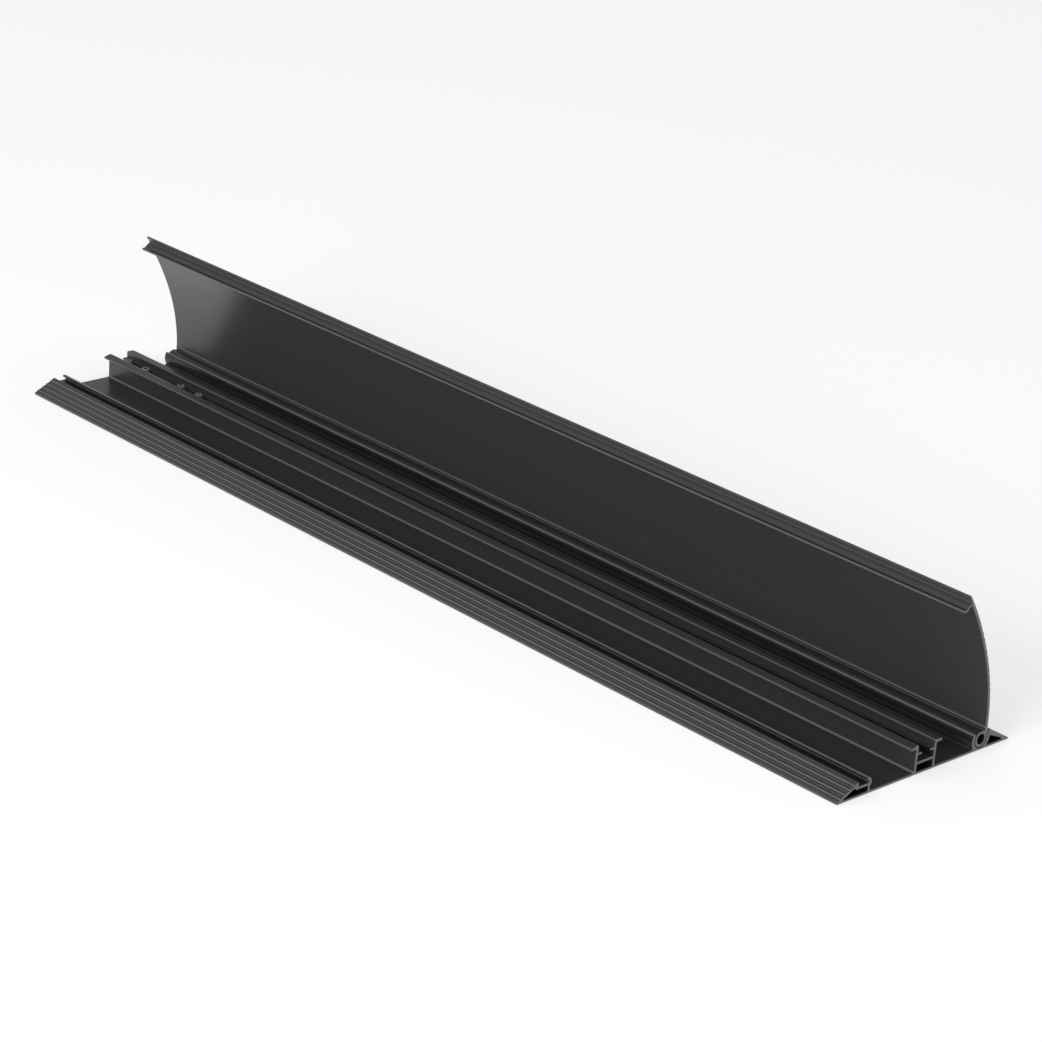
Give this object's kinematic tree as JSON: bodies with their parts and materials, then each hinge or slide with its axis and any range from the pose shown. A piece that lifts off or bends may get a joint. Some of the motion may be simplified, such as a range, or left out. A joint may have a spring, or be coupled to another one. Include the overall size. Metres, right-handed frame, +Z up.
{
  "type": "overfloor cable raceway",
  "caption": "Low ramped aluminium floor raceway with cable compartments, a slotted divider and a hinged crowned cover, shown open.",
  "frame": {"origin": "middle of the underside, on the floor", "axes": "+X along the length, +Y from the front ramp to the hinge at the back, +Z up"},
  "size_m": [0.83, 0.158, 0.1101],
  "materials": {
    "black_base_aluminium": "satin black anodised",
    "black_cover_aluminium": "satin black anodised",
    "bar_steel": "dark oxide",
    "screw_steel": "black oxide"
  },
  "bodies": {
    "base": {"base_profile": "black_base_aluminium", "coupling_bar": "bar_steel", "set_screw_1": "screw_steel", "set_screw_2": "screw_steel", "set_screw_3": "screw_steel", "set_screw_4": "screw_steel"},
    "cover": {"hinged_cover": "black_cover_aluminium"}
  },
  "joints": [
    {"name": "cover_hinge", "type": "hinge", "parent": "base", "child": "cover", "pos_m": [0, 0.0515, 0.0073], "axis": [1, 0, 0], "range_deg": [0, 70.5]}
  ]
}
